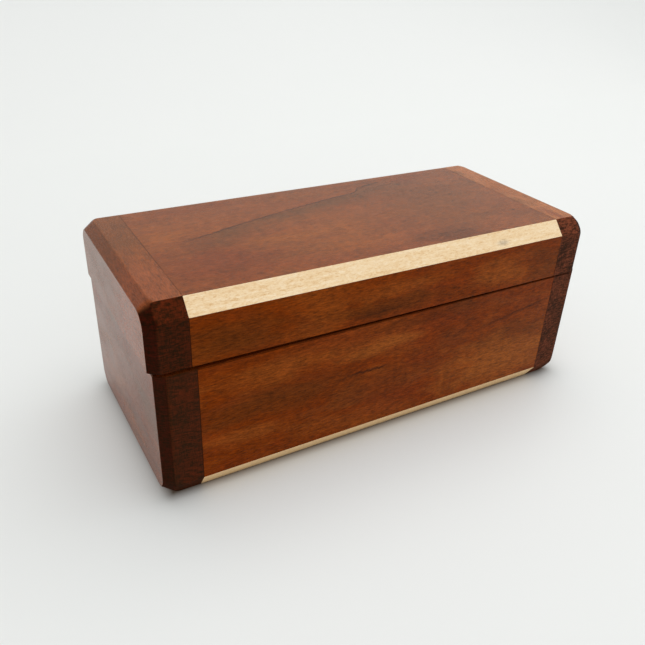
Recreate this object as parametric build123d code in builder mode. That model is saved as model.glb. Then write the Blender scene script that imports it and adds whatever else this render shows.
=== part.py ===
from build123d import *

import os
from collections import namedtuple
from math import atan2, cos, degrees, radians, sin, tan

# A lidded keepsake box in reddish hardwood. It is glued up as one closed block, its four long corners are
# rebated, filled with pale wood and planed to bevels, and the lid is then sawn off. Each half, the body and
# the lid, is a shell of two long walls, one panel, two thick end boards whose end grain shows on the long
# sides, and two inlay strips. Two brass stop hinges on the back join the halves.
#
# Frame: millimetres, +Z up, +X along the box, the front faces -Y, and the origin is the centre of the
# body's footprint on the table.

# Outside of the box
LENGTH = 203.0
WIDTH = 92.0
BODY_HEIGHT = 56.5
LID_HEIGHT = 25.8
SEAM_GAP = 0.7

# Boards
END_THICKNESS = 15.3
WALL_THICKNESS = 10.0
PANEL_THICKNESS = 9.0
RIM_EASE = 0.4

# The flat planed off all round an end board's outer face: its size along the box and across it, the round
# that it makes at the section's corners, and the sanding along its inner and outer edges
ARRIS_LENGTH = 4.0
ARRIS_DEPTH = 3.0
ARRIS_CORNER = 5.0
ARRIS_INNER_ROUND = 2.5
ARRIS_OUTER_ROUND = 0.5

# The bevels along the long edges, which the inlay strips fill: across the box, and up it
LID_BEVEL = (5.4, 6.0)
BODY_BEVEL = (4.5, 6.9)

# Tongues that let the walls and the panels into the end boards
TONGUE_LENGTH = 5.0
WALL_TONGUE = 4.0
PANEL_TONGUE_LOW = 3.0
PANEL_TONGUE_HIGH = 6.0

# The lid hangs a little crooked: it is turned about the middle of the back rim, and moved along it
LID_TURN = -0.52
LID_SHIFT = -0.65

# Felt on the floor
LINING_THICKNESS = 1.2
LINING_MARGIN = 0.4

# Brass stop hinges. Each is two bars, face to face when closed, whose bevelled tails stop the lid when it
# is open.
HINGE_SPACING = 120.0
HINGE_LENGTH = 24.0
HINGE_REACH = 8.0
BAR_THICKNESS = 2.4
BAR_CLEARANCE = 0.06
AXIS_SETBACK = 0.5
OPENING_ANGLE = 95.0
STOP_CLEARANCE = 1.0
KNUCKLE_RADIUS = 1.5
KNUCKLE_CLEARANCE = 0.15
MIDDLE_KNUCKLE = 8.0
PIN_RADIUS = 0.8
PIN_CLEARANCE = 0.05

# Countersunk brass screws
SCREW_SPACING = 15.0
SCREW_INSET = 4.6
SCREW_LENGTH = 9.0
SCREW_TIP = 2.0
SHANK_RADIUS = 1.1
HEAD_RADIUS = 2.0
HEAD_CLEARANCE = 0.05
SLOT_WIDTH = 0.5
SLOT_DEPTH = 0.5

# Derived sizes and places
end_joint = LENGTH / 2 - END_THICKNESS
half_width = WIDTH / 2
inside_half_width = half_width - WALL_THICKNESS
total_height = BODY_HEIGHT + SEAM_GAP + LID_HEIGHT
axis_y = half_width + AXIS_SETBACK
axis_z = BODY_HEIGHT + SEAM_GAP / 2
bar_face = BAR_CLEARANCE / 2
head_depth = bar_face + HEAD_CLEARANCE
hinge_places = {"left": -HINGE_SPACING / 2, "right": HINGE_SPACING / 2}

# A shell's frame has its origin on the panel's outer face and its Z axis from the panel to the rim, and
# front and back are the signs of those sides in the frame's Y. The lid is the same construction as the
# body, upside down.
Shell = namedtuple("Shell", "name frame front back height bevel")
lid_turn = radians(LID_TURN)
lid_frame = Plane(
    (LID_SHIFT + half_width * sin(lid_turn), half_width - half_width * cos(lid_turn), total_height),
    x_dir=(cos(lid_turn), sin(lid_turn), 0),
    z_dir=(0, 0, -1),
)
body = Shell("body", Plane.XY, -1, 1, BODY_HEIGHT, BODY_BEVEL)
lid = Shell("lid", lid_frame, 1, -1, LID_HEIGHT, LID_BEVEL)

os.makedirs("parts", exist_ok=True)


def save(piece, name):
    """Label a finished piece and write it as a STEP of its own."""
    piece.part.label = name
    export_step(piece.part, f"parts/{name}.step")


def across(frame, x=0.0):
    """The plane across a shell at x. Its X axis is the frame's Y, and its Y axis runs from panel to rim."""
    return Plane(frame.from_local_coords(Vector(x, 0, 0)), x_dir=frame.y_dir, z_dir=frame.x_dir)


def rectangle_between(low, high):
    """A rectangle in the current sketch, from its low corner to its high corner."""
    with Locations(((low[0] + high[0]) / 2, (low[1] + high[1]) / 2)):
        Rectangle(high[0] - low[0], high[1] - low[1])


def wall_section(shell, side, thickness):
    """The section of a wall, or of the tongue in its middle, from the bevel to the rim."""
    middle = side * (half_width - WALL_THICKNESS / 2)
    rectangle_between((middle - thickness / 2, shell.bevel[1]), (middle + thickness / 2, shell.height))


def outline(shell, top):
    """The corners of a shell's section, which is bevelled at the panel and cut square at top."""
    bevel_width, bevel_height = shell.bevel
    right = [(half_width - bevel_width, 0), (half_width, bevel_height), (half_width, top)]
    left = [(-across_box, height) for across_box, height in reversed(right)]
    return left + right


def panel_tongue():
    """The section of the tongue on a panel's ends, and of its groove in the end boards."""
    rectangle_between((-inside_half_width, PANEL_TONGUE_LOW), (inside_half_width, PANEL_TONGUE_HIGH))


def seam_plane(toward, height):
    """A plane at a height above (toward 1) or below (toward -1) the hinge axis, facing back to the axis."""
    return Plane((0, 0, axis_z + toward * height), x_dir=(1, 0, 0), z_dir=(0, 0, -toward))


def screw_places(hinge_x, toward):
    """Where the two screws of a hinge bar stand on its seam plane."""
    y = -toward * (half_width - SCREW_INSET)
    return [(hinge_x - SCREW_SPACING / 2, y), (hinge_x + SCREW_SPACING / 2, y)]


def make_wall(name, shell, side):
    """A long wall from the inlay's rebate to the rim. The back one has mortises and holes for the hinges."""
    frame = shell.frame
    with BuildPart() as wall:
        with BuildSketch(across(frame)):
            wall_section(shell, side, WALL_THICKNESS)
        extrude(amount=end_joint, both=True)
        rim = wall.faces().sort_by(Axis(frame.origin, frame.z_dir))[-1]
        along = rim.edges().filter_by(Axis(frame.origin, frame.x_dir))
        chamfer(along.sort_by(Axis(frame.origin, frame.y_dir * side))[-1], RIM_EASE)
        with BuildSketch(across(frame)):
            wall_section(shell, side, WALL_TONGUE)
        extrude(amount=end_joint + TONGUE_LENGTH, both=True)
        if side == shell.back:
            toward = -frame.z_dir.Z
            with BuildSketch(Plane.XY.offset(axis_z)):
                with Locations([(x, half_width) for x in hinge_places.values()]):
                    Rectangle(HINGE_LENGTH, 2 * HINGE_REACH)
            extrude(amount=toward * BAR_THICKNESS, mode=Mode.SUBTRACT)
            for hinge_x in hinge_places.values():
                with Locations(seam_plane(toward, BAR_THICKNESS)):
                    with Locations(screw_places(hinge_x, toward)):
                        Hole(SHANK_RADIUS, depth=head_depth + SCREW_LENGTH - BAR_THICKNESS)
    save(wall, name)


def make_panel(name, shell):
    """The floor or the top: an outer layer between the inlays, and an inner layer between the walls."""
    bevel_width, bevel_height = shell.bevel
    inlay_joint = half_width - bevel_width
    with BuildPart() as panel:
        with BuildSketch(across(shell.frame)):
            rectangle_between((-inlay_joint, 0), (inlay_joint, bevel_height))
            rectangle_between((-inside_half_width, bevel_height), (inside_half_width, PANEL_THICKNESS))
        extrude(amount=end_joint, both=True)
        with BuildSketch(across(shell.frame)):
            panel_tongue()
        extrude(amount=end_joint + TONGUE_LENGTH, both=True)
    save(panel, name)


def make_inlay(name, shell, side):
    """An inlay strip: the triangle that is left in the rebate when the corner is planed to a bevel."""
    bevel_width, bevel_height = shell.bevel
    inner = side * (half_width - bevel_width)
    with BuildPart() as inlay:
        with BuildSketch(across(shell.frame)):
            with BuildLine():
                Polyline((side * half_width, bevel_height), (inner, 0), (inner, bevel_height), close=True)
            make_face()
        extrude(amount=end_joint, both=True)
    save(inlay, name)


def make_end_board(name, shell, end):
    """An end board over the whole section, with an arris around its outer face, grooved for the tongues."""
    frame = shell.frame
    outward = Axis(frame.origin, frame.x_dir * end)
    to_rim = Axis(frame.origin, frame.z_dir)
    with BuildPart() as board:
        # the block that the planed arris leaves, which runs on past the rim so that the rim stays square
        with BuildSketch(across(frame, end * LENGTH / 2)) as outer_face:
            with BuildLine():
                Polyline(*outline(shell, shell.height + END_THICKNESS), close=True)
            make_face()
            offset(amount=-ARRIS_DEPTH, kind=Kind.INTERSECTION)
            fillet(outer_face.vertices().sort_by(Axis.Y)[:4], ARRIS_CORNER)
        slope = degrees(atan2(ARRIS_DEPTH, ARRIS_LENGTH))
        extrude(amount=-end * END_THICKNESS, taper=-slope)
        with BuildSketch(across(frame, end * end_joint)):
            with BuildLine():
                Polyline(*outline(shell, shell.height), close=True)
            make_face()
        extrude(amount=end * END_THICKNESS, mode=Mode.INTERSECT)
        fillet(board.faces().sort_by(outward)[-1].edges().sort_by(to_rim)[:-1], ARRIS_OUTER_ROUND)
        arris_start = LENGTH / 2 - ARRIS_LENGTH
        fillet(board.edges().filter_by_position(outward, arris_start - 2, arris_start + 0.5), ARRIS_INNER_ROUND)
        rim = board.faces().sort_by(to_rim)[-1]
        chamfer(rim.edges().sort_by(outward)[1:], RIM_EASE)
        with BuildSketch(across(frame, end * end_joint)):
            wall_section(shell, shell.front, WALL_TONGUE)
            wall_section(shell, shell.back, WALL_TONGUE)
            panel_tongue()
        extrude(amount=end * TONGUE_LENGTH, mode=Mode.SUBTRACT)
    save(board, name)


def make_lining(name):
    """The felt on the floor of the body."""
    with BuildPart() as lining:
        with BuildSketch(Plane.XY.offset(PANEL_THICKNESS)):
            Rectangle(2 * (end_joint - LINING_MARGIN), 2 * (inside_half_width - LINING_MARGIN))
        extrude(amount=LINING_THICKNESS)
    save(lining, name)


def barrel(axis, start, end, radius, mode=Mode.ADD):
    """Add or cut a cylinder about a hinge's axis, between two stations along it."""
    with Locations(axis.offset((start + end) / 2)):
        Cylinder(radius, end - start, mode=mode)


def make_bar(name, hinge_x, toward, middle_knuckle):
    """A hinge bar with its knuckles. toward is 1 for the lid's bar and -1 for the body's."""
    axis = Plane((hinge_x, axis_y, axis_z), x_dir=(0, 1, 0), z_dir=(1, 0, 0))
    bevel = tan(radians((OPENING_ANGLE + STOP_CLEARANCE) / 2))
    half = HINGE_LENGTH / 2
    middle = MIDDLE_KNUCKLE / 2
    gap = KNUCKLE_CLEARANCE
    if middle_knuckle:
        knuckles = [(gap - middle, middle - gap)]
        recesses = [(-half, -middle), (middle, half)]
        bore = PIN_RADIUS
    else:
        knuckles = [(-half, -middle - gap), (middle + gap, half)]
        recesses = [(-middle, middle)]
        bore = PIN_RADIUS + PIN_CLEARANCE
    with BuildPart() as bar:
        with BuildSketch(axis.offset(-half)):
            with BuildLine():
                Polyline(
                    (-HINGE_REACH - AXIS_SETBACK, toward * bar_face),
                    (-HINGE_REACH - AXIS_SETBACK, toward * BAR_THICKNESS),
                    (BAR_THICKNESS / bevel, toward * BAR_THICKNESS),
                    (bar_face / bevel, toward * bar_face),
                    close=True,
                )
            make_face()
        extrude(amount=HINGE_LENGTH)
        for start, end in recesses:
            barrel(axis, start, end, KNUCKLE_RADIUS + gap, mode=Mode.SUBTRACT)
        for start, end in knuckles:
            barrel(axis, start, end, KNUCKLE_RADIUS)
        barrel(axis, -half, half, bore, mode=Mode.SUBTRACT)
        with Locations(seam_plane(toward, bar_face)):
            with Locations(screw_places(hinge_x, toward)):
                CounterSinkHole(
                    SHANK_RADIUS + HEAD_CLEARANCE, HEAD_RADIUS + HEAD_CLEARANCE, counter_sink_angle=90
                )
    save(bar, name)


def make_pin(name, hinge_x):
    """A hinge's pin, which is held in the middle knuckle and turns in the outer two."""
    with BuildPart() as pin:
        with BuildSketch(Plane((hinge_x, axis_y, axis_z), x_dir=(0, 1, 0), z_dir=(1, 0, 0))):
            Circle(PIN_RADIUS)
        extrude(amount=HINGE_LENGTH / 2, both=True)
    save(pin, name)


def make_screws(name, hinge_x, toward):
    """The two countersunk screws of a hinge bar, with slotted heads just under the bar's face."""
    hanging = (Align.CENTER, Align.CENTER, Align.MAX)
    neck = HEAD_RADIUS - SHANK_RADIUS
    with BuildPart() as screws:
        with Locations(seam_plane(toward, head_depth)):
            with Locations(screw_places(hinge_x, toward)):
                Cylinder(SHANK_RADIUS, SCREW_LENGTH - SCREW_TIP, align=hanging)
                Cone(SHANK_RADIUS, HEAD_RADIUS, neck, align=hanging)
                Box(2 * HEAD_RADIUS + 1, SLOT_WIDTH, 2 * SLOT_DEPTH, mode=Mode.SUBTRACT)
        with Locations(seam_plane(toward, head_depth + SCREW_LENGTH - SCREW_TIP)):
            with Locations(screw_places(hinge_x, toward)):
                Cone(0, SHANK_RADIUS, SCREW_TIP, align=hanging)
    save(screws, name)


for shell in (body, lid):
    make_wall(f"{shell.name}_front_wall", shell, shell.front)
    make_wall(f"{shell.name}_back_wall", shell, shell.back)
    make_inlay(f"{shell.name}_front_inlay", shell, shell.front)
    make_inlay(f"{shell.name}_back_inlay", shell, shell.back)
    make_end_board(f"{shell.name}_left_end_board", shell, -1)
    make_end_board(f"{shell.name}_right_end_board", shell, 1)
make_panel("body_floor_panel", body)
make_panel("lid_top_panel", lid)
make_lining("floor_lining")

for hand, place in hinge_places.items():
    make_bar(f"{hand}_hinge_body_bar", place, -1, middle_knuckle=True)
    make_bar(f"{hand}_hinge_lid_bar", place, 1, middle_knuckle=False)
    make_pin(f"{hand}_hinge_pin", place)
    make_screws(f"{hand}_hinge_body_screws", place, -1)
    make_screws(f"{hand}_hinge_lid_screws", place, 1)
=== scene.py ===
from math import atan2, pi, radians

import bmesh
import bpy
from mathutils import Matrix, Vector, noise


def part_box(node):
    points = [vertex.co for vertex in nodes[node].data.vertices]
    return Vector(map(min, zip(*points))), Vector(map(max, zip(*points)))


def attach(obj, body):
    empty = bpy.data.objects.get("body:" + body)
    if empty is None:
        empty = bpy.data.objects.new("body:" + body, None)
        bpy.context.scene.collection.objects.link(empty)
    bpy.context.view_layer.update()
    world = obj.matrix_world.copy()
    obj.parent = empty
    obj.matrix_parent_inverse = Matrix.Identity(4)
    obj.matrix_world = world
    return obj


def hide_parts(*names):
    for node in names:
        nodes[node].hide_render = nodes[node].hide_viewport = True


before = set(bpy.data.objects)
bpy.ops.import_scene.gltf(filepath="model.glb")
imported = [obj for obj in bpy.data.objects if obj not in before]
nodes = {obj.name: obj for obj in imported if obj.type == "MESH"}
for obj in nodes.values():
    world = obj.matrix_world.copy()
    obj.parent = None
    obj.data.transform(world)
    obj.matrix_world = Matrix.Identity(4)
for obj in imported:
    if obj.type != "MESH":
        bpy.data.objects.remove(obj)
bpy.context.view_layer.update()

MM = 0.001

# The oil finish reflects little straight on, and warmly, and much more at a grazing angle
WARM_GLOSS = (1.0, 0.5, 0.15, 1.0)


def tone(red, green, blue):
    """A linear colour from the 0 to 255 values that a paint chart gives."""
    chart = (value / 255 for value in (red, green, blue))
    linear = (v / 12.92 if v <= 0.04045 else ((v + 0.055) / 1.055) ** 2.4 for v in chart)
    return (*linear, 1.0)


# Cherry's colours: most of it, the front, the lid's lighter boards, its pale, red, pink, greenish and dusky
# patches, its dark growth and its gum
CHERRY = tone(116, 53, 12)
CHERRY_FRONT = tone(116, 45, 1)
CHERRY_TOP = tone(132, 68, 28)
CHERRY_ORANGE = tone(168, 100, 56)
TAN = tone(148, 79, 27)
DEEP_RED = tone(116, 46, 18)
ROSE = tone(148, 78, 46)
OLIVE = tone(98, 57, 26)
DUSK = tone(88, 44, 10)
DARK = tone(58, 24, 8)
PITCH = tone(34, 14, 6)

# End grain on the left and on the right, the arris that runs past it, and the dark of glue in a joint, which
# also paints shade into the seam
END_GRAIN = tone(54, 13, 3)
# the right end boards' end grain is paler: a painted sheen
END_GRAIN_WITH_PAINTED_SHEEN = tone(84, 40, 25)
# the arris: its own dark tone, deepened with painted shade
ARRIS_TONE_AND_SHADE = tone(38, 2, 1)
GLUE_AND_SEAM_SHADE = tone(34, 8, 3)

# Painted shade on the planed flat round an end board's outer face, where it turns up towards the top
EDGE_FLAT_SHADE = (0.80, 0.72, 0.70, 1.0)

# Stains in four boards, in millimetres: the middle and the reach of each along the grain and across it, its
# colour, and how strong it is
TOP_STAINS = (
    ((-64, -24), (26, 19), DEEP_RED, 0.55),
    ((-75, 11), (13, 6), TAN, 0.60),
    ((-22, -9), (30, 7), TAN, 0.65),
    ((-10, -26), (24, 9), TAN, 0.50),
    ((34, -34), (18, 7), DARK, 0.45),
    ((52, 5), (32, 24), OLIVE, 0.40),
    ((77, -23), (1.3, 0.7), PITCH, 0.70),
    ((-55, -17), (1.2, 0.8), PITCH, 0.35),
)
FRONT_STAINS = (
    ((-55, 47), (27, 6), TAN, 0.45),
    ((-8, 45), (18, 4), TAN, 0.70),
    ((-58, 33), (34, 7), DUSK, 0.55),
    ((-66, 21), (20, 4), TAN, 0.45),
    ((60, 20), (40, 14), TAN, 0.85),
    ((66, 32), (30, 7), DUSK, 0.25),
    ((18, 53), (28, 3), DARK, 0.35),
)
LID_FRONT_STAINS = (
    ((-72, 66), (22, 7), DUSK, 0.60),
    ((-2, 70), (30, 4), TAN, 0.30),
    ((-2, 63), (34, 4), DUSK, 0.60),
    ((-12, 61), (10, 1.5), DARK, 0.45),
    ((54, 66), (16, 7), TAN, 0.55),
    ((84, 66), (16, 7), DUSK, 0.25),
)
END_STAINS = (
    ((24, 80), (24, 40), OLIVE, 0.45),
    ((-28, 80), (20, 40), ROSE, 0.50),
)

# The lid panel's dark mineral line: where it starts and ends, how it climbs, its bow, and the jog that it
# makes. The stain below it goes on further, and reaches down by its depth.
MINERAL_START = (-76, 0)
MINERAL_END = 46
MINERAL_CLIMB = 0.26
MINERAL_BOW = 2.2
MINERAL_JOG = 4.0
MINERAL_JOG_PLACE = 23
STAIN_END = 52
STAIN_DEPTH = 17

# The body's front: a level dark dash, and a streak that climbs from where it starts to where it ends
DASH_HEIGHT = 34.5
DASH_START, DASH_END = -27, 0
STREAK_START = (40, 39)
STREAK_CLIMB = 0.16
STREAK_END = 90

# ---------------------------------------------------------------- where the two halves are

def run_of(node):
    """The middles of the left and right ends of a straight strip, from its CAD vertices."""
    points = [vertex.co for vertex in nodes[node].data.vertices]
    ends = [[p for p in points if p.x < 0], [p for p in points if p.x > 0]]
    return [sum(end, Vector()) / len(end) for end in ends]


left_end, right_end = run_of("lid_front_inlay")
lid_run = right_end - left_end
lid_turn = atan2(lid_run.y, lid_run.x)
lid_middle = (left_end + right_end) / 2
end_joint = lid_run.length / 2
lid_centre = lid_middle - Matrix.Rotation(lid_turn, 3, "Z") @ Vector((0, lid_middle.y, 0))
lid_centre.z = 0
seam_height = (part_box("body_front_wall")[1].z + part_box("lid_front_wall")[0].z) / 2
half_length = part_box("body_right_end_board")[1].x
half_width = -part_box("body_front_wall")[0].y


# ---------------------------------------------------------------- material nodes

class Graph:
    """One material's nodes. Each call adds a node and returns its output socket."""

    def __init__(self, name):
        self.material = bpy.data.materials.new(name)
        self.material.use_nodes = True
        self.tree = self.material.node_tree
        self.tree.nodes.clear()

    def add(self, kind, inputs, output=0, **settings):
        node = self.tree.nodes.new("ShaderNode" + kind)
        for key, value in settings.items():
            setattr(node, key, value)
        for key, value in inputs.items():
            if isinstance(value, bpy.types.NodeSocket):
                self.tree.links.new(value, node.inputs[key])
            else:
                node.inputs[key].default_value = value
        return node.outputs[output]

    def math(self, operation, *values):
        return self.add("Math", dict(enumerate(values)), operation=operation)

    def stretch(self, vector, factors):
        return self.add("VectorMath", {0: vector, 1: factors}, operation="MULTIPLY")

    def shift(self, vector, by):
        return self.add("VectorMath", {0: vector, 1: by}, operation="ADD")

    def noise(self, vector, scale=1.0, detail=2.0, roughness=0.5, distortion=0.0, output=0):
        inputs = {
            "Vector": vector,
            "Scale": scale,
            "Detail": detail,
            "Roughness": roughness,
            "Distortion": distortion,
        }
        return self.add("TexNoise", inputs, output)

    def noise_along(self, value, detail=2.0, roughness=0.5):
        inputs = {"W": value, "Scale": 1.0, "Detail": detail, "Roughness": roughness}
        return self.add("TexNoise", inputs, noise_dimensions="1D")

    def smooth(self, value, low, high):
        """0 below low, 1 above high and a soft step between. low may be above high."""
        inputs = {"Value": value, "From Min": low, "From Max": high}
        return self.add("MapRange", inputs, interpolation_type="SMOOTHSTEP")

    def spread(self, value, low, high, to_low=0.0, to_high=1.0):
        inputs = {"Value": value, "From Min": low, "From Max": high, "To Min": to_low, "To Max": to_high}
        return self.add("MapRange", inputs)

    def mix(self, factor, a, b, blend="MIX"):
        return self.add("Mix", {0: factor, 6: a, 7: b}, 2, data_type="RGBA", blend_type=blend)

    def separate(self, vector):
        node = self.tree.nodes.new("ShaderNodeSeparateXYZ")
        self.tree.links.new(vector, node.inputs[0])
        return node.outputs[0], node.outputs[1], node.outputs[2]

    def combine(self, x, y, z):
        return self.add("CombineXYZ", {0: x, 1: y, 2: z})

    def ramp(self, value, stops):
        node = self.tree.nodes.new("ShaderNodeValToRGB")
        self.tree.links.new(value, node.inputs[0])
        elements = node.color_ramp.elements
        while len(elements) < len(stops):
            elements.new(0.5)
        for element, (place, colour) in zip(elements, stops):
            element.position = place
            element.color = colour
        return node.outputs[0]

    def bump(self, height, strength, distance):
        return self.add("Bump", {"Height": height, "Strength": strength, "Distance": distance})

    def surface(self, colour, roughness, normal, **fixed):
        inputs = {"Base Color": colour, "Roughness": roughness, "Normal": normal}
        inputs.update({key.replace("_", " "): value for key, value in fixed.items()})
        shader = self.add("BsdfPrincipled", inputs)
        output = self.tree.nodes.new("ShaderNodeOutputMaterial")
        self.tree.links.new(shader, output.inputs["Surface"])
        return self.material


def place_in_half(graph, on_lid):
    """The point in millimetres in its half's own frame: X along the box, Y across it and Z up."""
    point = graph.add("TexCoord", {}, output="Object")
    point = graph.stretch(point, (1 / MM,) * 3)
    if on_lid:
        point = graph.shift(point, tuple(-lid_centre / MM))
        inputs = {"Vector": point, "Angle": -lid_turn}
        point = graph.add("VectorRotate", inputs, rotation_type="Z_AXIS")
    return point


def stray_point(g, board):
    """The board's point, pushed about by slow noise as a trunk's growth is."""
    push = g.noise(g.stretch(board, (0.011, 0.03, 0.03)), 1.0, 2.0, 0.5, output="Color")
    push = g.shift(push, (-0.5, -0.5, -0.5))
    return g.add("VectorMath", {0: board, 1: g.stretch(push, (0.0, 26.0, 26.0))}, operation="ADD")


def ring_radius(g, board, heart):
    """Distance from the tree's heart, whose two offsets across the grain are in millimetres."""
    _, side, depth = g.separate(g.shift(stray_point(g, board), (0.0, -heart[0], -heart[1])))
    squares = g.math("ADD", g.math("MULTIPLY", side, side), g.math("MULTIPLY", depth, depth))
    return g.math("SQRT", squares)


def patch(g, u, v, ragged, centre, reach):
    """1 in an oval with a soft, ragged outline, and 0 outside it. reach is how far it goes each way."""
    from_u = g.math("MULTIPLY", g.math("SUBTRACT", u, centre[0]), 1 / reach[0])
    from_v = g.math("MULTIPLY", g.math("SUBTRACT", v, centre[1]), 1 / reach[1])
    squares = g.math("ADD", g.math("MULTIPLY", from_u, from_u), g.math("MULTIPLY", from_v, from_v))
    distance = g.math("ADD", g.math("SQRT", squares), g.spread(ragged, 0.3, 0.7, -0.35, 0.35))
    return g.smooth(distance, 1.45, 0.25)


def window(g, value, start, end, soft):
    """1 between start and end, fading to 0 over a soft length inside each."""
    rise = g.smooth(value, start, start + soft)
    return g.math("MULTIPLY", rise, g.smooth(value, end, end - soft))


def climbing(g, u, start, climb):
    """The height at u of a straight line that leaves start and climbs by that much for each millimetre."""
    return g.math("ADD", g.math("MULTIPLY", g.math("SUBTRACT", u, start[0]), climb), start[1])


def stained(g, colour, u, v, ragged, stains):
    """The colour with a board's stains laid over it, in their order."""
    for middle, reach, tint, strength in stains:
        colour = g.mix(g.math("MULTIPLY", patch(g, u, v, ragged, middle, reach), strength), colour, tint)
    return colour


def wandering(g, point, v):
    """v, pushed about a little along the grain, for a line that isn't ruled."""
    wander = g.noise(g.stretch(point, (0.30, 0.0, 0.0)), 1.0, 2.0, 0.6)
    return g.math("ADD", v, g.spread(wander, 0.3, 0.7, -0.5, 0.5))


def above_mineral_line(g, point, x, y):
    """How far y is above the lid panel's mineral line."""
    start, jog_place = MINERAL_START[0], MINERAL_JOG_PLACE
    bow = g.math("MULTIPLY", g.math("SINE", g.spread(x, start, jog_place + 1, 0.0, pi)), MINERAL_BOW)
    jog = g.math("MULTIPLY", g.smooth(x, jog_place - 2, jog_place + 4), MINERAL_JOG)
    curve = g.math("ADD", climbing(g, x, MINERAL_START, MINERAL_CLIMB), g.math("ADD", bow, jog))
    return g.math("SUBTRACT", wandering(g, point, y), curve)


def top_figure(g, point, colour):
    """The lid's panel: a fine dark mineral line that climbs across it, with a greenish stain below."""
    x, y, _ = g.separate(point)
    ragged = g.noise(g.stretch(point, (0.07, 0.16, 0.16)), 1.0, 4.0, 0.6)
    colour = stained(g, colour, x, y, ragged, TOP_STAINS)
    above = above_mineral_line(g, point, x, y)
    start = MINERAL_START[0]
    stain = g.math("MULTIPLY", g.smooth(above, 0.5, -1.0), g.smooth(above, -STAIN_DEPTH, -3))
    stain = g.math("MULTIPLY", stain, window(g, x, start, STAIN_END, 26))
    stain = g.math("MULTIPLY", stain, g.spread(ragged, 0.36, 0.56, 0.35, 1.0))
    colour = g.mix(g.math("MULTIPLY", stain, 0.80), colour, OLIVE)
    line = g.smooth(g.math("ABSOLUTE", above), 0.80, 0.25)
    line = g.math("MULTIPLY", line, window(g, x, start, MINERAL_END, 10))
    line = g.math("MULTIPLY", line, g.spread(ragged, 0.35, 0.6, 0.7, 1.0))
    return g.mix(g.math("MULTIPLY", line, 0.75), colour, DARK)


def front_figure(g, point, colour):
    """The body's front: broad pale and dusky zones, a short dark dash and a long streak that climbs."""
    x, _, z = g.separate(point)
    ragged = g.noise(g.stretch(point, (0.06, 0.20, 0.20)), 1.0, 4.0, 0.6)
    colour = stained(g, colour, x, z, ragged, FRONT_STAINS)
    v = wandering(g, point, z)
    dash = g.smooth(g.math("ABSOLUTE", g.math("SUBTRACT", v, DASH_HEIGHT)), 0.9, 0.1)
    dash = g.math("MULTIPLY", dash, window(g, x, DASH_START, DASH_END, 9))
    colour = g.mix(g.math("MULTIPLY", dash, 0.85), colour, DARK)
    above = g.math("SUBTRACT", v, climbing(g, x, STREAK_START, STREAK_CLIMB))
    streak = g.math("MULTIPLY", g.smooth(above, -1.8, 0.0), g.smooth(above, 0.7, 0.0))
    streak = g.math("MULTIPLY", streak, window(g, x, STREAK_START[0], STREAK_END, 14))
    return g.mix(g.math("MULTIPLY", streak, 0.60), colour, DARK)


def lid_front_figure(g, point, colour):
    """The lid's front, which has only stains."""
    x, _, z = g.separate(point)
    ragged = g.noise(g.stretch(point, (0.06, 0.20, 0.20)), 1.0, 4.0, 0.6)
    return stained(g, colour, x, z, ragged, LID_FRONT_STAINS)


def end_figure(g, point, colour):
    """The lid's left end board: greenish at the back, and paler and pinker at the front."""
    _, y, z = g.separate(point)
    ragged = g.noise(g.stretch(point, (0.16, 0.07, 0.16)), 1.0, 4.0, 0.6)
    return stained(g, colour, y, z, ragged, END_STAINS)


def shaded(g, colour, light):
    """The colour made lighter or darker: light is 1 for no change."""
    return g.mix(1.0, colour, g.combine(light, light, light), "MULTIPLY")


def growth_colour(g, board, radius, body, variety):
    """Slow changes of colour, and growth rings, most of them faint. variety is how strong they are."""
    patches = g.noise(g.stretch(board, (0.020, 0.062, 0.062)), 1.0, 3.0, 0.55, 0.5, output="Color")
    tan_patch, red_patch, olive_patch = g.separate(patches)
    colour = g.mix(g.math("MULTIPLY", g.smooth(tan_patch, 0.46, 0.66), variety), body, TAN)
    colour = g.mix(g.math("MULTIPLY", g.smooth(red_patch, 0.48, 0.66), variety), colour, DEEP_RED)
    colour = g.mix(g.math("MULTIPLY", g.smooth(olive_patch, 0.50, 0.68), variety), colour, OLIVE)
    bands = g.noise_along(g.math("MULTIPLY", radius, 0.20), 3.0, 0.6)
    lines = g.smooth(g.noise_along(g.math("MULTIPLY", radius, 0.75), 1.0, 0.5), 0.60, 0.74)
    faded = g.smooth(g.noise(g.stretch(board, (0.014, 0.05, 0.05)), 1.0, 1.0), 0.46, 0.64)
    colour = g.mix(g.math("MULTIPLY", g.smooth(bands, 0.50, 0.72), 0.35 * variety), colour, DARK)
    return g.mix(g.math("MULTIPLY", g.math("MULTIPLY", lines, faded), 0.60 * variety), colour, DARK)


def grained(g, board, colour, fibre, pore):
    """The colour with fibres, mottle, pores cut lengthwise and gum flecks."""
    mottle = g.noise(g.stretch(board, (0.13, 0.45, 0.45)), 1.0, 2.0, 0.6)
    ripple = g.noise(g.stretch(board, (0.26, 0.05, 0.05)), 1.0, 2.0, 0.5)
    fleck = g.smooth(g.noise(g.stretch(board, (0.42, 2.6, 2.6)), 1.0, 1.0), 0.74, 0.80)
    light = g.math("ADD", g.spread(fibre, 0.3, 0.7, -0.54, 0.54), g.spread(mottle, 0.3, 0.7, -0.11, 0.11))
    light = g.math("ADD", light, g.spread(ripple, 0.3, 0.7, -0.08, 0.08))
    colour = shaded(g, colour, g.math("ADD", light, 1.0))
    colour = g.mix(g.math("MULTIPLY", pore, 0.38), colour, DARK)
    return g.mix(g.math("MULTIPLY", fleck, 0.45), colour, PITCH)


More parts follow.
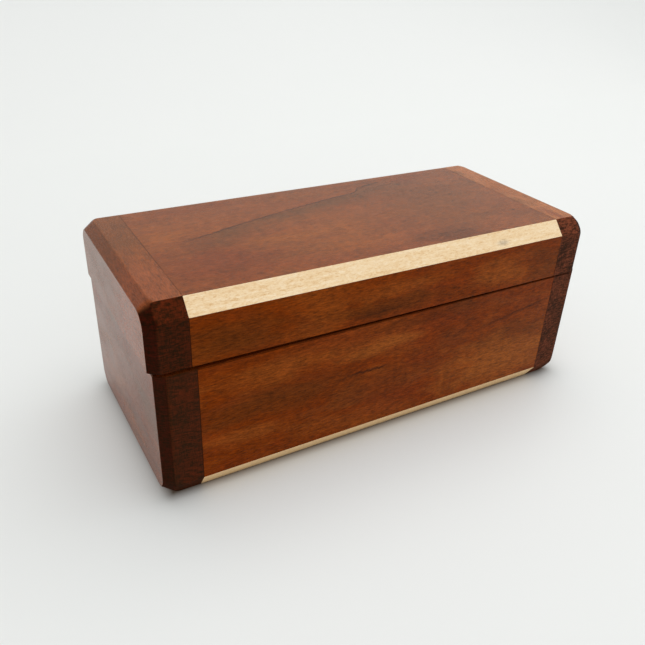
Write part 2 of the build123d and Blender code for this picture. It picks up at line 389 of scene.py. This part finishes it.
def end_grain_colour(g, board, radius, wear, facing_up, base):
    """The base colour with arcs of growth and crossing rays, and painted light that makes it paler where it
    faces up.
    """
    arcs = g.smooth(g.noise_along(radius, 2.0, 0.6), 0.42, 0.62)
    rays = g.noise(g.stretch(board, (0.6, 0.35, 1.9)), 1.0, 3.0, 0.7)
    crossed = g.noise(g.stretch(board, (0.6, 1.7, 0.5)), 1.0, 3.0, 0.7)
    cells = g.math("ADD", g.spread(arcs, 0, 1, 0.75, 1.15), g.spread(rays, 0.3, 0.7, -0.95, 0.95))
    cells = g.math("ADD", cells, g.spread(crossed, 0.3, 0.7, -0.6, 0.6))
    cells = g.math("ADD", cells, g.spread(wear, 0.3, 0.7, -0.5, 0.5))
    cells = g.math("MAXIMUM", cells, 0.2)
    # painted light: end grain up to 1.35 times as light where it faces up
    return shaded(g, base, g.math("MULTIPLY", cells, g.spread(facing_up, 0, 1, 1.0, 1.35)))


def seam_shade_and_glue(g, point, normal_z, wear, colour):
    """The colour with painted shade on the seam's outer edges, where the gap between lid and body is dark,
    and stray glue in the end joints.
    """
    x, y, z = g.separate(point)
    rim = g.smooth(g.math("ABSOLUTE", normal_z), 0.10, 0.30)
    from_seam = g.math("ABSOLUTE", g.math("SUBTRACT", z, seam_height / MM))
    in_seam = g.smooth(from_seam, 0.95, 0.70)
    from_side = g.math("SUBTRACT", half_width / MM, g.math("ABSOLUTE", y))
    from_end = g.math("SUBTRACT", half_length / MM, g.math("ABSOLUTE", x))
    outside = g.smooth(g.math("MINIMUM", from_side, from_end), 2.0, 0.8)
    # painted shade: a dark line on the seam's faces near the outside, where the gap lies
    dirt_and_seam_shade = g.math("MULTIPLY", g.math("MULTIPLY", rim, in_seam), outside)
    colour = g.mix(g.math("MULTIPLY", dirt_and_seam_shade, 0.55), colour, GLUE_AND_SEAM_SHADE)
    from_joint = g.math("ABSOLUTE", g.math("SUBTRACT", g.math("ABSOLUTE", x), end_joint / MM))
    glue = g.math("MULTIPLY", g.smooth(from_joint, 0.32, 0.08), g.spread(wear, 0.42, 0.62, 0.0, 0.70))
    return g.mix(glue, colour, GLUE_AND_SEAM_SHADE)


def finish_roughness(g, wear, pore, end_grain, arris, normal_z):
    """How dull the finish is: duller on end grain, and duller still on its arris and underneath."""
    roughness = g.spread(wear, 0.3, 0.7, 0.215, 0.285)
    roughness = g.math("ADD", roughness, g.math("MULTIPLY", pore, 0.06))
    roughness = g.math("ADD", roughness, g.math("MULTIPLY", end_grain, 0.50))
    roughness = g.math("ADD", roughness, g.math("MULTIPLY", g.math("MULTIPLY", end_grain, arris), 0.15))
    unpolished = g.smooth(normal_z, -0.15, -0.45)
    return g.math("ADD", roughness, g.math("MULTIPLY", unpolished, 0.5))


def cherry(name, on_lid, along, heart, seed, body=CHERRY, end_tone=END_GRAIN, gloss=0.24, figure=None):
    """Reddish hardwood as a solid texture, so that its figure turns every corner as it does in a real board.

    along is the axis of the grain, heart the tree's, in millimetres across the grain, body the board's main
    colour, end_tone its end grain's, gloss the finish's specular level, and figure adds one board's marks.
    """
    g = Graph(name)
    point = place_in_half(g, on_lid)
    x, y, z = g.separate(point)
    straight = g.combine(x, y, z) if along == "X" else g.combine(y, x, z)
    board = g.shift(straight, (seed * 37.0, 0.0, 0.0))
    radius = ring_radius(g, board, heart)
    wear = g.noise(g.stretch(board, (0.05, 0.12, 0.12)), 1.0, 4.0, 0.6)
    fibre = g.noise(g.stretch(board, (0.38, 1.9, 1.9)), 1.0, 4.0, 0.75)
    pore = g.smooth(g.noise(g.stretch(board, (0.70, 4.6, 4.6)), 1.0, 1.0), 0.55, 0.70)

    colour = growth_colour(g, board, radius, body, 0.30 if figure else 0.75)
    if figure is not None:
        colour = figure(g, point, colour)
    colour = grained(g, board, colour, fibre, pore)

    # end grain drinks the finish and goes dark; painted light makes it paler where it faces up, and the arris
    # beside it is darkest, in its own tone deepened with painted shade
    normal_x, normal_y, normal_z = g.separate(g.add("TexCoord", {}, output="Normal"))
    cut, turned = (normal_x, normal_y) if along == "X" else (normal_y, normal_x)
    cut = g.math("ABSOLUTE", cut)
    turned = g.math("ABSOLUTE", turned)
    end_grain = g.smooth(cut, 0.15, 0.50)
    arris = g.smooth(turned, 0.25, 0.50)
    facing_up = g.smooth(normal_z, 0.15, 0.60)
    base = g.mix(arris, end_tone, ARRIS_TONE_AND_SHADE)
    colour = g.mix(end_grain, colour, end_grain_colour(g, board, radius, wear, facing_up, base))

    # painted shade on the flat planed round an end board's outer face, where it turns upwards
    if along == "Y":
        planed = g.math("MULTIPLY", window(g, turned, 0.20, 0.97, 0.10), facing_up)
        colour = g.mix(planed, colour, g.mix(1.0, colour, EDGE_FLAT_SHADE, "MULTIPLY"))
    # painted shade in the seam between lid and body, and stray glue in the end joints
    colour = seam_shade_and_glue(g, point, normal_z, wear, colour)

    # the finish lies a little lower over open pores
    relief = g.math("ADD", g.math("MULTIPLY", pore, -0.5), g.math("MULTIPLY", fibre, 0.6))
    bumped = g.bump(relief, 0.10, 0.08 * MM)
    roughness = finish_roughness(g, wear, pore, end_grain, arris, normal_z)
    return g.surface(colour, roughness, bumped, Specular_IOR_Level=gloss, Specular_Tint=WARM_GLOSS)


def maple(name, on_lid, seed, warmed=0.0, smudge=None):
    """Pale hardwood with fine lengthwise grain, short ray flecks and perhaps a grey smudge.

    warmed is how much of a yellower tone is mixed in, and smudge the middle of the smudge, in millimetres.
    """
    g = Graph(name)
    point = place_in_half(g, on_lid)
    board = g.shift(point, (seed * 41.0, seed * 13.0, seed * 7.0))
    grain = g.noise(g.stretch(board, (0.035, 0.7, 0.7)), 1.0, 3.0, 0.6)
    silk = g.noise(g.stretch(board, (0.50, 1.7, 1.7)), 1.0, 3.0, 0.7, 0.6)
    fleck = g.noise(g.stretch(board, (0.9, 2.4, 2.4)), 1.0, 1.0, 0.5, 0.8)
    fleck = g.smooth(fleck, 0.52, 0.70)
    shade = g.math("ADD", g.spread(grain, 0.3, 0.7, 0.0, 0.45), g.spread(silk, 0.3, 0.7, -0.1, 0.65))
    stops = [(0.0, tone(222, 178, 122)), (0.4, tone(243, 211, 163)), (1.0, tone(255, 234, 199))]
    colour = g.mix(g.math("MULTIPLY", fleck, 0.26), g.ramp(shade, stops), tone(200, 150, 96))
    colour = g.mix(warmed, colour, tone(250, 205, 140))
    if smudge is not None:
        x, _, z = g.separate(point)
        dirt_and_seam_shade = g.math("MULTIPLY", patch(g, x, z, silk, smudge, (3, 1)), 0.45)
        colour = g.mix(dirt_and_seam_shade, colour, tone(132, 122, 108))
    bumped = g.bump(silk, 0.08, 0.08 * MM)
    roughness = g.spread(silk, 0.3, 0.7, 0.27, 0.37)
    return g.surface(colour, roughness, bumped)


def brass(name):
    """Drawn brass with fine scratches along the hinge, and a little tarnish."""
    g = Graph(name)
    point = g.stretch(g.add("TexCoord", {}, output="Object"), (1 / MM,) * 3)
    scratches = g.noise(g.stretch(point, (0.35, 14.0, 14.0)), 1.0, 3.0, 0.6)
    tarnish = g.noise(g.stretch(point, (0.35, 0.5, 0.5)), 1.0, 4.0, 0.65)
    colour = g.mix(g.smooth(tarnish, 0.42, 0.68), tone(214, 176, 104), tone(150, 108, 58))
    colour = g.mix(g.spread(scratches, 0.3, 0.7, 0.0, 0.25), colour, tone(120, 86, 46))
    roughness = g.math("ADD", g.spread(scratches, 0.3, 0.7, 0.22, 0.34), g.spread(tarnish, 0.4, 0.7, 0, 0.15))
    bumped = g.bump(scratches, 0.15, 0.03 * MM)
    return g.surface(colour, roughness, bumped, Metallic=1.0)


def felt(name):
    """Short matted wool."""
    g = Graph(name)
    point = g.stretch(g.add("TexCoord", {}, output="Object"), (1 / MM,) * 3)
    hairs = g.noise(point, 2.6, 5.0, 0.75, 1.6)
    clumps = g.noise(point, 0.35, 3.0, 0.6)
    colour = g.mix(g.spread(hairs, 0.3, 0.7), tone(66, 14, 20), tone(112, 30, 38))
    colour = g.mix(g.spread(clumps, 0.35, 0.7, 0.0, 0.4), colour, tone(84, 20, 28))
    bumped = g.bump(hairs, 0.6, 0.35 * MM)
    roughness = g.spread(hairs, 0.3, 0.7, 0.85, 1.0)
    return g.surface(colour, roughness, bumped, Sheen_Weight=0.15, Sheen_Roughness=0.5)


# ---------------------------------------------------------------- the boards' materials

def dress(node, material):
    """Gives a CAD node its material."""
    mesh = nodes[node].data
    mesh.materials.clear()
    mesh.materials.append(material)


def front_wall(on_lid, heart, seed, figure):
    """A front board, which has been polished less than the top."""
    name = "cherry_lid_front" if on_lid else "cherry_body_front"
    return cherry(name, on_lid, "X", heart, seed, CHERRY_FRONT, gloss=0.10, figure=figure)


dress("body_front_wall", front_wall(False, (-105, 30), 1, front_figure))
dress("body_back_wall", cherry("cherry_body_back", False, "X", (120, 20), 2))
dress("body_floor_panel", cherry("cherry_floor", False, "X", (10, -60), 3))
dress("lid_front_wall", front_wall(True, (-105, 60), 4, lid_front_figure))
dress("lid_back_wall", cherry("cherry_lid_back", True, "X", (110, 60), 5))
lid_top = cherry("cherry_lid_top", True, "X", (5, 20), 6, CHERRY_TOP, gloss=0.28, figure=top_figure)
dress("lid_top_panel", lid_top)
dress("body_left_end_board", cherry("cherry_body_left", False, "Y", (-96, -60), 7, gloss=0.36))
# the right end board's end grain is paler with a painted sheen
body_right = cherry("cherry_body_right", False, "Y", (96, -70), 8, end_tone=END_GRAIN_WITH_PAINTED_SHEEN)
dress("body_right_end_board", body_right)
lid_left = cherry("cherry_lid_left", True, "Y", (-96, -30), 9, CHERRY_TOP, gloss=0.27, figure=end_figure)
dress("lid_left_end_board", lid_left)
# the right end board's end grain is paler with a painted sheen
lid_right = cherry("cherry_lid_right", True, "Y", (96, -30), 10, CHERRY_ORANGE, END_GRAIN_WITH_PAINTED_SHEEN)
dress("lid_right_end_board", lid_right)
dress("lid_front_inlay", maple("maple_lid_front", True, 1, smudge=(53, 79)))
dress("lid_back_inlay", maple("maple_lid_back", True, 2))
dress("body_front_inlay", maple("maple_body_front", False, 3, warmed=0.6))
dress("body_back_inlay", maple("maple_body_back", False, 4, warmed=0.6))
brass_finish = brass("brass")
for node in nodes:
    if "hinge" in node:
        dress(node, brass_finish)


# ---------------------------------------------------------------- pieces

def ease(node, width):
    """Softens a CAD node's sharp edges, for the light that a handled edge catches."""
    weld = nodes[node].modifiers.new("weld", "WELD")
    weld.merge_threshold = 0.001 * MM
    bevel = nodes[node].modifiers.new("ease", "BEVEL")
    bevel.width = width
    bevel.segments = 2
    bevel.limit_method = "ANGLE"
    bevel.angle_limit = radians(25)
    bevel.harden_normals = True


for node in nodes:
    if "hinge" in node:
        ease(node, 0.08 * MM)
    elif node != "floor_lining":
        ease(node, 0.12 * MM)


def make_felt():
    """The felt on the floor: a pad with soft edges and a slightly uneven top."""
    low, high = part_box("floor_lining")
    step = 1.5 * MM
    columns = int((high.x - low.x) / step)
    rows = int((high.y - low.y) / step)
    mesh = bmesh.new()
    bmesh.ops.create_grid(mesh, x_segments=columns, y_segments=rows, size=0.5)
    for vertex in mesh.verts:
        x = (vertex.co.x + 0.5) * (high.x - low.x) + low.x
        y = (vertex.co.y + 0.5) * (high.y - low.y) + low.y
        edge = min(x - low.x, high.x - x, y - low.y, high.y - y)
        fall = max(0.0, 1 - edge / (2 * step)) ** 2
        lift = noise.noise(Vector((x, y, 0)) / (9 * MM)) * 0.12 * MM
        vertex.co = (x, y, high.z - 0.15 * MM + lift - fall * 0.5 * MM)
    rim = [edge for edge in mesh.edges if edge.is_boundary]
    walls = bmesh.ops.extrude_edge_only(mesh, edges=rim)["geom"]
    for vertex in (part for part in walls if isinstance(part, bmesh.types.BMVert)):
        vertex.co.z = low.z
    bottom = [edge for edge in mesh.edges if edge.is_boundary]
    bmesh.ops.contextual_create(mesh, geom=bottom)
    bmesh.ops.recalc_face_normals(mesh, faces=mesh.faces)
    data = bpy.data.meshes.new("felt_lining")
    mesh.to_mesh(data)
    mesh.free()
    for face in data.polygons:
        face.use_smooth = True
    piece = bpy.data.objects.new("felt_lining", data)
    bpy.context.scene.collection.objects.link(piece)
    data.materials.append(felt("felt"))
    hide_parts("floor_lining")
    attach(piece, "body")


make_felt()


# ---------------------------------------------------------------- stage, lights and camera

def contact_shade(g, point):
    """The narrow warm shade in the paper where it meets the box, and white away from it."""
    reach = 4.5 * MM
    base = (half_length - 4 * MM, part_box("body_floor_panel")[1].y, 0.0)
    beyond = g.add("VectorMath", {0: point}, operation="ABSOLUTE")
    beyond = g.add("VectorMath", {0: beyond, 1: base}, operation="SUBTRACT")
    beyond = g.add("VectorMath", {0: beyond, 1: (0.0, 0.0, 0.0)}, operation="MAXIMUM")
    distance = g.add("VectorMath", {0: beyond}, output="Value", operation="LENGTH")
    fall = g.math("EXPONENT", g.math("MULTIPLY", distance, -1 / reach))
    return g.mix(fall, (1, 1, 1, 1), (0.15, 0.11, 0.08, 1))


def paper(name):
    """White paper that glows a little, which lifts the shadows, and gets darker as it rises."""
    g = Graph(name)
    point = g.add("TexCoord", {}, output="Object")
    tooth = g.noise(point, 900.0, 3.0, 0.6)
    tint = g.mix(g.noise(point, 3.0, 2.0), (0.58, 0.59, 0.575, 1), (0.60, 0.605, 0.59, 1))
    _, _, height = g.separate(point)
    shade = g.spread(height, 0.0, 0.35, 1.0, 0.84)
    shade = g.mix(1.0, g.combine(shade, shade, shade), contact_shade(g, point), "MULTIPLY")
    tint = g.mix(1.0, tint, shade, "MULTIPLY")
    glow = g.mix(1.0, (0.99, 1.0, 0.98, 1), shade, "MULTIPLY")
    bumped = g.bump(tooth, 0.05, 0.05 * MM)
    return g.surface(tint, 0.55, bumped, Emission_Color=glow, Emission_Strength=0.22)


def make_stage():
    """A sheet of white paper that rises behind the box."""
    white = paper("paper")
    bend_start, bend_radius, top, reach = 0.42, 0.35, 1.8, 3.0
    profile = [(-reach, 0.0), (bend_start, 0.0)]
    for step in range(1, 13):
        angle = step / 12 * pi / 2
        turn = Matrix.Rotation(angle, 2) @ Vector((0, -bend_radius))
        profile.append((bend_start + turn.x, bend_radius + turn.y))
    profile.append((bend_start + bend_radius, top))
    mesh = bmesh.new()
    sides = [[mesh.verts.new((x, y, z)) for y, z in profile] for x in (-reach, reach)]
    for i in range(len(profile) - 1):
        mesh.faces.new((sides[0][i], sides[1][i], sides[1][i + 1], sides[0][i + 1]))
    data = bpy.data.meshes.new("paper")
    mesh.to_mesh(data)
    mesh.free()
    for face in data.polygons:
        face.use_smooth = True
    sheet = bpy.data.objects.new("paper", data)
    bpy.context.scene.collection.objects.link(sheet)
    data.materials.append(white)


def make_light(name, place, target, size, power):
    data = bpy.data.lights.new(name, "AREA")
    data.shape = "RECTANGLE"
    data.size, data.size_y = size
    data.energy = power
    lamp = bpy.data.objects.new(name, data)
    bpy.context.scene.collection.objects.link(lamp)
    lamp.location = place
    lamp.rotation_mode = "QUATERNION"
    lamp.rotation_quaternion = (Vector(target) - Vector(place)).to_track_quat("-Z", "Y")


def make_world(colour, strength):
    world = bpy.data.worlds.new("room")
    world.use_nodes = True
    background = world.node_tree.nodes["Background"]
    background.inputs["Color"].default_value = colour
    background.inputs["Strength"].default_value = strength
    bpy.context.scene.world = world


def make_camera():
    """The camera looks down on the box from its front left, level to within a couple of degrees."""
    data = bpy.data.cameras.new("camera")
    data.sensor_width = 36
    data.lens = 38.85
    camera = bpy.data.objects.new("camera", data)
    bpy.context.scene.collection.objects.link(camera)
    place = Vector((-0.1522, -0.2415, 0.1929))
    heading, dip, roll = radians(30.67), radians(29.76), radians(2.35)
    turn = Matrix.Rotation(-heading, 4, "Z") @ Matrix.Rotation(pi / 2 - dip, 4, "X")
    turn = turn @ Matrix.Rotation(roll, 4, "Z")
    camera.matrix_world = Matrix.Translation(place) @ turn
    bpy.context.scene.camera = camera


make_stage()
make_world((0.97, 0.985, 1.0, 1), 0.755)
make_light("window", (0.45, 0.3, 1.25), (0, 0, 0), (1.6, 1.6), 12.2)
make_camera()
bpy.context.scene.view_settings.view_transform = "Standard"
